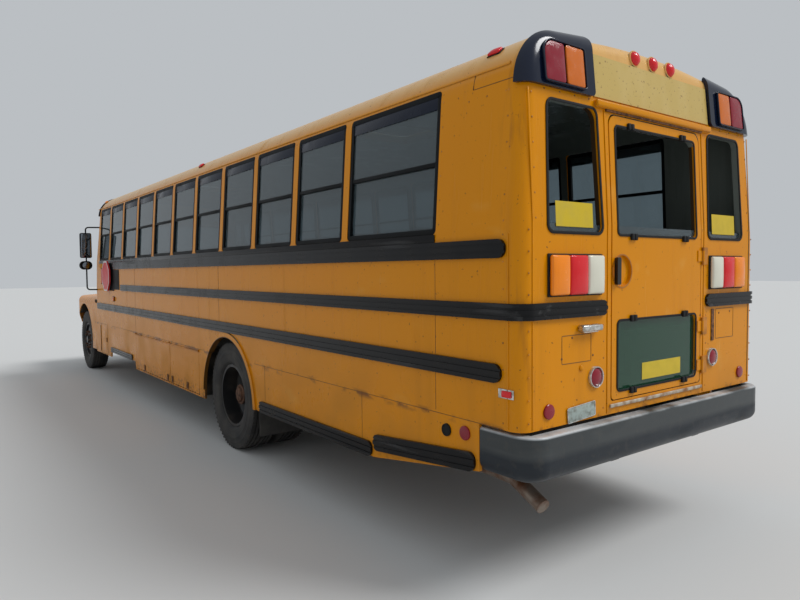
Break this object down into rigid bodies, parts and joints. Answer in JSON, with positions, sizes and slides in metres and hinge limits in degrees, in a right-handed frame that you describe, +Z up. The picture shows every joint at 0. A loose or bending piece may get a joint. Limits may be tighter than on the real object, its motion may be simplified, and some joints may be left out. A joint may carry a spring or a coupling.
{
  "type": "conventional school bus",
  "caption": "Long-nosed yellow school bus with a tilting hood, folding entry door, rear emergency door, side storage doors, roof hatches and a swing-out stop arm.",
  "frame": {"origin": "on the ground under the middle of the bus, halfway along its length and width", "axes": "+Z up, the bus faces -Y, and its left (driver's) side is +X"},
  "size_m": [2.9, 11.502, 3.0439],
  "materials": {
    "yellow_paint": "satin, weathered",
    "black_rail": "satin",
    "black_frame": "satin",
    "black_steel": "matte, dusty",
    "bumper_black": "worn satin",
    "floor_steel": "matte",
    "dark_glass": "polished",
    "red_lens": "polished",
    "clear_lens": "polished",
    "stop_red": "gloss",
    "hatch_white": "satin",
    "seat_vinyl": "satin vinyl",
    "seat_fabric": "woven",
    "dark_plastic": "matte",
    "grille_plastic": "matte",
    "cast_iron": "rough",
    "radiator_metal": "matte",
    "tank_steel": "matte, dusty",
    "pipe_steel": "heat stained",
    "hinge_steel": "rusty",
    "flap_rubber": "matte",
    "tyre_rubber": "matte",
    "wheel_paint": "satin"
  },
  "bodies": {
    "bus_body": {"frame_rails": "black_steel", "floor": "floor_steel", "wheelhouses": "floor_steel", "corner_rails": "black_rail", "side_walls": "yellow_paint", "roof": "yellow_paint", "rear_wall": "yellow_paint", "front_wall": "yellow_paint", "skirts": "yellow_paint", "rub_rails": "black_rail", "window_frames": "black_frame", "side_glass": "dark_glass", "end_glass": "dark_glass", "front_bumper": "bumper_black", "rear_bumper": "bumper_black", "lamp_pods": "black_frame", "body_lamps": "red_lens", "header_signs": "yellow_paint", "bench_seats": "seat_vinyl", "seat_frames": "black_steel", "driver_seat": "seat_fabric", "dashboard": "dark_plastic", "engine": "cast_iron", "radiator": "radiator_metal", "drive_shaft": "black_steel", "front_axle": "black_steel", "rear_axle": "black_steel", "fuel_tank": "tank_steel", "exhaust": "pipe_steel", "entry_steps": "floor_steel", "storage_box": "black_steel", "door_hinges": "hinge_steel", "stop_arm_mount": "black_frame", "mirrors": "black_frame", "mud_flaps": "flap_rubber"},
    "hood": {"hood": "yellow_paint", "grille": "grille_plastic", "headlamps": "clear_lens"},
    "entry_door_front": {"entry_door_front": "black_frame", "entry_glass_front": "dark_glass"},
    "entry_door_rear": {"entry_door_rear": "black_frame", "entry_glass_rear": "dark_glass"},
    "rear_door": {"rear_door": "yellow_paint", "rear_door_glass": "dark_glass", "rear_handle": "black_frame"},
    "stop_arm": {"stop_arm": "stop_red"},
    "storage_door_front": {"storage_door_front": "yellow_paint"},
    "storage_door_rear": {"storage_door_rear": "yellow_paint"},
    "roof_hatch_front": {"roof_hatch_front": "hatch_white"},
    "roof_hatch_rear": {"roof_hatch_rear": "hatch_white"},
    "knuckle_left": {"knuckle_left": "cast_iron"},
    "front_wheel_left": {"front_tyre_left": "tyre_rubber", "front_rim_left": "wheel_paint"},
    "rear_wheels_left": {"rear_tyres_left": "tyre_rubber", "rear_rims_left": "wheel_paint"},
    "knuckle_right": {"knuckle_right": "cast_iron"},
    "front_wheel_right": {"front_tyre_right": "tyre_rubber", "front_rim_right": "wheel_paint"},
    "rear_wheels_right": {"rear_tyres_right": "tyre_rubber", "rear_rims_right": "wheel_paint"}
  },
  "joints": [
    {"name": "steer_left", "type": "hinge", "parent": "bus_body", "child": "knuckle_left", "pos_m": [0.88, -4.771, 0.516], "axis": [0, 0, 1], "range_deg": [-35, 35]},
    {"name": "steer_right", "type": "hinge", "parent": "bus_body", "child": "knuckle_right", "pos_m": [-0.88, -4.771, 0.516], "axis": [0, 0, 1], "range_deg": [-35, 35]},
    {"name": "front_wheel_left_spin", "type": "hinge", "parent": "knuckle_left", "child": "front_wheel_left", "pos_m": [1.012, -4.771, 0.516], "axis": [1, 0, 0], "continuous": true},
    {"name": "front_wheel_right_spin", "type": "hinge", "parent": "knuckle_right", "child": "front_wheel_right", "pos_m": [-1.012, -4.771, 0.516], "axis": [1, 0, 0], "continuous": true},
    {"name": "rear_wheels_left_spin", "type": "hinge", "parent": "bus_body", "child": "rear_wheels_left", "pos_m": [0.8775, 1.929, 0.516], "axis": [1, 0, 0], "continuous": true},
    {"name": "rear_wheels_right_spin", "type": "hinge", "parent": "bus_body", "child": "rear_wheels_right", "pos_m": [-0.8775, 1.929, 0.516], "axis": [1, 0, 0], "continuous": true},
    {"name": "hood_tilt", "type": "hinge", "parent": "bus_body", "child": "hood", "pos_m": [0, -5.655, 0.771], "axis": [1, 0, 0], "range_deg": [0, 55]},
    {"name": "entry_door_front_swing", "type": "hinge", "parent": "bus_body", "child": "entry_door_front", "pos_m": [-1.16, -3.401, 0.5], "axis": [0, 0, 1], "range_deg": [0, 85]},
    {"name": "entry_door_rear_swing", "type": "hinge", "parent": "bus_body", "child": "entry_door_rear", "pos_m": [-1.16, -2.739, 0.5], "axis": [0, 0, -1], "range_deg": [0, 85]},
    {"name": "rear_door_swing", "type": "hinge", "parent": "bus_body", "child": "rear_door", "pos_m": [-0.49, 5.69, 1.331], "axis": [0, 0, 1], "range_deg": [0, 110]},
    {"name": "stop_arm_swing", "type": "hinge", "parent": "bus_body", "child": "stop_arm", "pos_m": [1.244, -2.99, 1.661], "axis": [0, 0, -1], "range_deg": [0, 90]},
    {"name": "storage_door_front_lift", "type": "hinge", "parent": "bus_body", "child": "storage_door_front", "pos_m": [1.21, -0.541, 0.872], "axis": [0, -1, 0], "range_deg": [0, 100]},
    {"name": "storage_door_rear_lift", "type": "hinge", "parent": "bus_body", "child": "storage_door_rear", "pos_m": [1.21, 0.676, 0.872], "axis": [0, -1, 0], "range_deg": [0, 100]},
    {"name": "roof_hatch_front_lift", "type": "hinge", "parent": "bus_body", "child": "roof_hatch_front", "pos_m": [0, -1.162, 3.014], "axis": [-1, 0, 0], "range_deg": [0, 40]},
    {"name": "roof_hatch_rear_lift", "type": "hinge", "parent": "bus_body", "child": "roof_hatch_rear", "pos_m": [0, 3.438, 3.014], "axis": [-1, 0, 0], "range_deg": [0, 40]}
  ],
  "couplings": [
    {"joint": "steer_right", "follows": "steer_left", "ratio": 1},
    {"joint": "entry_door_rear_swing", "follows": "entry_door_front_swing", "ratio": 1}
  ]
}
